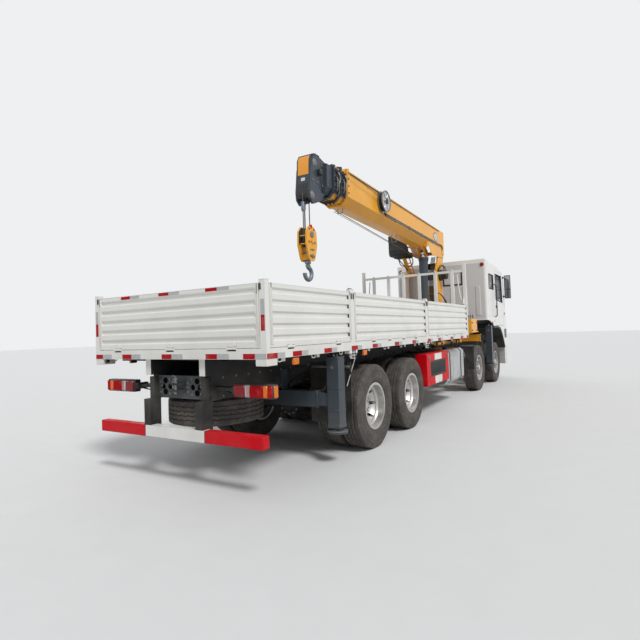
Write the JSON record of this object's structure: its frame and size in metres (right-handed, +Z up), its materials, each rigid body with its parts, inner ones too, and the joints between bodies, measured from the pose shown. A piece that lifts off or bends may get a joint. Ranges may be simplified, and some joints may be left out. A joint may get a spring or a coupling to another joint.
{
  "type": "truck-mounted telescopic crane",
  "caption": "Flatbed truck with a slewing telescopic-boom crane between cab and drop-side bed, steered front wheels, twin rear wheels, outriggers and a swivelling hook.",
  "frame": {"origin": "centre of the footprint of the whole vehicle, on the ground", "axes": "+X forward along the truck, +Y to its left, +Z up"},
  "size_m": [11.95, 2.91, 4.2916],
  "materials": {
    "tyre_rubber": "worn rubber",
    "rim_bright": "bright painted",
    "rim_grey": "dusty grey",
    "axle_iron": "black, dusty",
    "engine_iron": "painted casting",
    "frame_black": "satin black",
    "tank_alloy": "satin",
    "box_paint": "gloss red",
    "bed_white": "gloss white, dusty",
    "cab_white": "gloss white",
    "glass_clear": "tinted",
    "trim_grey": "matt",
    "bumper_white": "gloss white",
    "crane_yellow": "gloss golden yellow",
    "head_grey": "satin dark blue-grey",
    "leg_grey": "satin dark grey",
    "jack_steel": "worn steel",
    "barrel_grey": "satin dark grey",
    "rod_chrome": "ground chrome",
    "winch_grey": "satin black",
    "seat_black": "vinyl",
    "block_grey": "satin blue-grey",
    "hook_steel": "worn forged steel"
  },
  "bodies": {
    "truck": {"chassis_frame": "frame_black", "axles": "axle_iron", "engine": "engine_iron", "fuel_tank": "tank_alloy", "battery_box": "box_paint", "spare_wheel": "tyre_rubber", "load_bed": "bed_white", "cab_shell": "cab_white", "cab_glass": "glass_clear", "cab_interior": "trim_grey", "front_bumper": "bumper_white", "crane_base": "crane_yellow"},
    "steered_hub_1_right": {"knuckle_1_right": "axle_iron"},
    "steered_hub_1_left": {"knuckle_1_left": "axle_iron"},
    "steered_hub_2_right": {"knuckle_2_right": "axle_iron"},
    "steered_hub_2_left": {"knuckle_2_left": "axle_iron"},
    "wheel_1_right": {"tyre_1_right": "tyre_rubber", "rim_1_right": "rim_bright"},
    "wheel_1_left": {"tyre_1_left": "tyre_rubber", "rim_1_left": "rim_bright"},
    "wheel_2_right": {"tyre_2_right": "tyre_rubber", "rim_2_right": "rim_bright"},
    "wheel_2_left": {"tyre_2_left": "tyre_rubber", "rim_2_left": "rim_bright"},
    "wheel_3_right": {"tyre_3_right": "tyre_rubber", "rim_3_right": "rim_grey"},
    "wheel_3_left": {"tyre_3_left": "tyre_rubber", "rim_3_left": "rim_grey"},
    "wheel_4_right": {"tyre_4_right": "tyre_rubber", "rim_4_right": "rim_grey"},
    "wheel_4_left": {"tyre_4_left": "tyre_rubber", "rim_4_left": "rim_grey"},
    "gate_rear_right": {"gate_rear_right": "bed_white"},
    "gate_rear_left": {"gate_rear_left": "bed_white"},
    "gate_middle_right": {"gate_middle_right": "bed_white"},
    "gate_middle_left": {"gate_middle_left": "bed_white"},
    "gate_front_right": {"gate_front_right": "bed_white"},
    "gate_front_left": {"gate_front_left": "bed_white"},
    "tailgate": {"tailgate": "bed_white"},
    "door_right": {"door_right": "cab_white"},
    "door_left": {"door_left": "cab_white"},
    "outrigger_rear_right": {"outrigger_beam_rear_right": "leg_grey"},
    "jack_rear_right": {"jack_foot_rear_right": "jack_steel"},
    "outrigger_rear_left": {"outrigger_beam_rear_left": "leg_grey"},
    "jack_rear_left": {"jack_foot_rear_left": "jack_steel"},
    "outrigger_front_right": {"outrigger_beam_front_right": "leg_grey"},
    "jack_front_right": {"jack_foot_front_right": "jack_steel"},
    "outrigger_front_left": {"outrigger_beam_front_left": "leg_grey"},
    "jack_front_left": {"jack_foot_front_left": "jack_steel"},
    "superstructure": {"column": "crane_yellow", "winch": "winch_grey", "operator_seat": "seat_black"},
    "boom": {"boom_base": "crane_yellow"},
    "boom_second": {"boom_second": "crane_yellow"},
    "boom_third": {"boom_third": "crane_yellow"},
    "boom_tip": {"boom_tip": "head_grey"},
    "lift_barrel": {"luff_barrel": "barrel_grey"},
    "lift_rod": {"luff_rod": "rod_chrome"},
    "hook_block": {"hook_block": "block_grey"},
    "hook": {"hook": "hook_steel"}
  },
  "joints": [
    {"name": "steer_1_right", "type": "hinge", "parent": "truck", "child": "steered_hub_1_right", "pos_m": [4.455, -0.86, 0.5425], "axis": [0, 0, 1], "range_deg": [-32, 32]},
    {"name": "steer_1_left", "type": "hinge", "parent": "truck", "child": "steered_hub_1_left", "pos_m": [4.455, 0.86, 0.5425], "axis": [0, 0, 1], "range_deg": [-32, 32]},
    {"name": "steer_2_right", "type": "hinge", "parent": "truck", "child": "steered_hub_2_right", "pos_m": [2.505, -0.86, 0.5425], "axis": [0, 0, 1], "range_deg": [-24, 24]},
    {"name": "steer_2_left", "type": "hinge", "parent": "truck", "child": "steered_hub_2_left", "pos_m": [2.505, 0.86, 0.5425], "axis": [0, 0, 1], "range_deg": [-24, 24]},
    {"name": "spin_1_right", "type": "hinge", "parent": "steered_hub_1_right", "child": "wheel_1_right", "pos_m": [4.455, -1.035, 0.5425], "axis": [0, 1, 0], "continuous": true},
    {"name": "spin_1_left", "type": "hinge", "parent": "steered_hub_1_left", "child": "wheel_1_left", "pos_m": [4.455, 1.035, 0.5425], "axis": [0, 1, 0], "continuous": true},
    {"name": "spin_2_right", "type": "hinge", "parent": "steered_hub_2_right", "child": "wheel_2_right", "pos_m": [2.505, -1.035, 0.5425], "axis": [0, 1, 0], "continuous": true},
    {"name": "spin_2_left", "type": "hinge", "parent": "steered_hub_2_left", "child": "wheel_2_left", "pos_m": [2.505, 1.035, 0.5425], "axis": [0, 1, 0], "continuous": true},
    {"name": "spin_3_right", "type": "hinge", "parent": "truck", "child": "wheel_3_right", "pos_m": [-2.295, -0.9325, 0.5425], "axis": [0, 1, 0], "continuous": true},
    {"name": "spin_3_left", "type": "hinge", "parent": "truck", "child": "wheel_3_left", "pos_m": [-2.295, 0.9325, 0.5425], "axis": [0, 1, 0], "continuous": true},
    {"name": "spin_4_right", "type": "hinge", "parent": "truck", "child": "wheel_4_right", "pos_m": [-3.645, -0.9325, 0.5425], "axis": [0, 1, 0], "continuous": true},
    {"name": "spin_4_left", "type": "hinge", "parent": "truck", "child": "wheel_4_left", "pos_m": [-3.645, 0.9325, 0.5425], "axis": [0, 1, 0], "continuous": true},
    {"name": "fold_gate_rear_right", "type": "hinge", "parent": "truck", "child": "gate_rear_right", "pos_m": [-5.075, -1.25, 1.403], "axis": [1, 0, 0], "range_deg": [0, 90]},
    {"name": "fold_gate_rear_left", "type": "hinge", "parent": "truck", "child": "gate_rear_left", "pos_m": [-5.075, 1.25, 1.403], "axis": [-1, 0, 0], "range_deg": [0, 90]},
    {"name": "fold_gate_middle_right", "type": "hinge", "parent": "truck", "child": "gate_middle_right", "pos_m": [-2.875, -1.25, 1.403], "axis": [1, 0, 0], "range_deg": [0, 90]},
    {"name": "fold_gate_middle_left", "type": "hinge", "parent": "truck", "child": "gate_middle_left", "pos_m": [-2.875, 1.25, 1.403], "axis": [-1, 0, 0], "range_deg": [0, 90]},
    {"name": "fold_gate_front_right", "type": "hinge", "parent": "truck", "child": "gate_front_right", "pos_m": [-0.175, -1.25, 1.403], "axis": [1, 0, 0], "range_deg": [0, 90]},
    {"name": "fold_gate_front_left", "type": "hinge", "parent": "truck", "child": "gate_front_left", "pos_m": [-0.175, 1.25, 1.403], "axis": [-1, 0, 0], "range_deg": [0, 90]},
    {"name": "fold_tailgate", "type": "hinge", "parent": "truck", "child": "tailgate", "pos_m": [-5.963, 0, 1.403], "axis": [0, -1, 0], "range_deg": [0, 90]},
    {"name": "open_door_right", "type": "hinge", "parent": "truck", "child": "door_right", "pos_m": [5.462, -1.235, 2.3], "axis": [0, 0, 1], "range_deg": [0, 70]},
    {"name": "open_door_left", "type": "hinge", "parent": "truck", "child": "door_left", "pos_m": [5.462, 1.235, 2.3], "axis": [0, 0, -1], "range_deg": [0, 70]},
    {"name": "extend_outrigger_rear_right", "type": "slide", "parent": "truck", "child": "outrigger_rear_right", "axis": [0, -1, 0], "range_m": [0, 0.65]},
    {"name": "lower_jack_rear_right", "type": "slide", "parent": "outrigger_rear_right", "child": "jack_rear_right", "axis": [0, 0, -1], "range_m": [0, 0.36]},
    {"name": "extend_outrigger_rear_left", "type": "slide", "parent": "truck", "child": "outrigger_rear_left", "axis": [0, 1, 0], "range_m": [0, 0.65]},
    {"name": "lower_jack_rear_left", "type": "slide", "parent": "outrigger_rear_left", "child": "jack_rear_left", "axis": [0, 0, -1], "range_m": [0, 0.36]},
    {"name": "extend_outrigger_front_right", "type": "slide", "parent": "truck", "child": "outrigger_front_right", "axis": [0, -1, 0], "range_m": [0, 0.65]},
    {"name": "lower_jack_front_right", "type": "slide", "parent": "outrigger_front_right", "child": "jack_front_right", "axis": [0, 0, -1], "range_m": [0, 0.49]},
    {"name": "extend_outrigger_front_left", "type": "slide", "parent": "truck", "child": "outrigger_front_left", "axis": [0, 1, 0], "range_m": [0, 0.65]},
    {"name": "lower_jack_front_left", "type": "slide", "parent": "outrigger_front_left", "child": "jack_front_left", "axis": [0, 0, -1], "range_m": [0, 0.49]},
    {"name": "slew", "type": "hinge", "parent": "truck", "child": "superstructure", "pos_m": [2.645, 0, 1.8], "axis": [0, 0, 1], "continuous": true},
    {"name": "luff", "type": "hinge", "parent": "superstructure", "child": "boom", "pos_m": [2.945, 0, 3.5], "axis": [0, 1, 0], "range_deg": [-2, 73]},
    {"name": "extend_boom_second", "type": "slide", "parent": "boom", "child": "boom_second", "axis": [-0.9994, 0, 0.0349], "range_m": [0, 3.4]},
    {"name": "extend_boom_third", "type": "slide", "parent": "boom_second", "child": "boom_third", "axis": [-0.9994, 0, 0.0349], "range_m": [0, 3.4]},
    {"name": "extend_boom_tip", "type": "slide", "parent": "boom_third", "child": "boom_tip", "axis": [-0.9994, 0, 0.0349], "range_m": [0, 3.4]},
    {"name": "lift_barrel_swing", "type": "hinge", "parent": "superstructure", "child": "lift_barrel", "pos_m": [2.045, 0, 1.9], "axis": [0, 1, 0], "range_deg": [-1, 9]},
    {"name": "lift_rod_stroke", "type": "slide", "parent": "lift_barrel", "child": "lift_rod", "axis": [0.0635, 0, 0.998], "range_m": [-0.03, 0.96]},
    {"name": "hook_block_swing", "type": "hinge", "parent": "boom_tip", "child": "hook_block", "pos_m": [-3.25471, 0, 3.61644], "axis": [0, 1, 0], "range_deg": [-75, 20]},
    {"name": "hook_swivel", "type": "hinge", "parent": "hook_block", "child": "hook", "pos_m": [-3.25471, 0, 2.61644], "axis": [0, 0, 1], "continuous": true}
  ],
  "couplings": [
    {"joint": "steer_1_left", "follows": "steer_1_right", "ratio": 1},
    {"joint": "steer_2_right", "follows": "steer_1_right", "ratio": 0.7375},
    {"joint": "steer_2_left", "follows": "steer_1_right", "ratio": 0.7375},
    {"joint": "extend_boom_third", "follows": "extend_boom_second", "ratio": 1},
    {"joint": "extend_boom_tip", "follows": "extend_boom_second", "ratio": 1},
    {"joint": "lift_barrel_swing", "follows": "luff", "ratio": 0.12},
    {"joint": "lift_rod_stroke", "follows": "luff", "m_per_rad": 0.74}
  ]
}
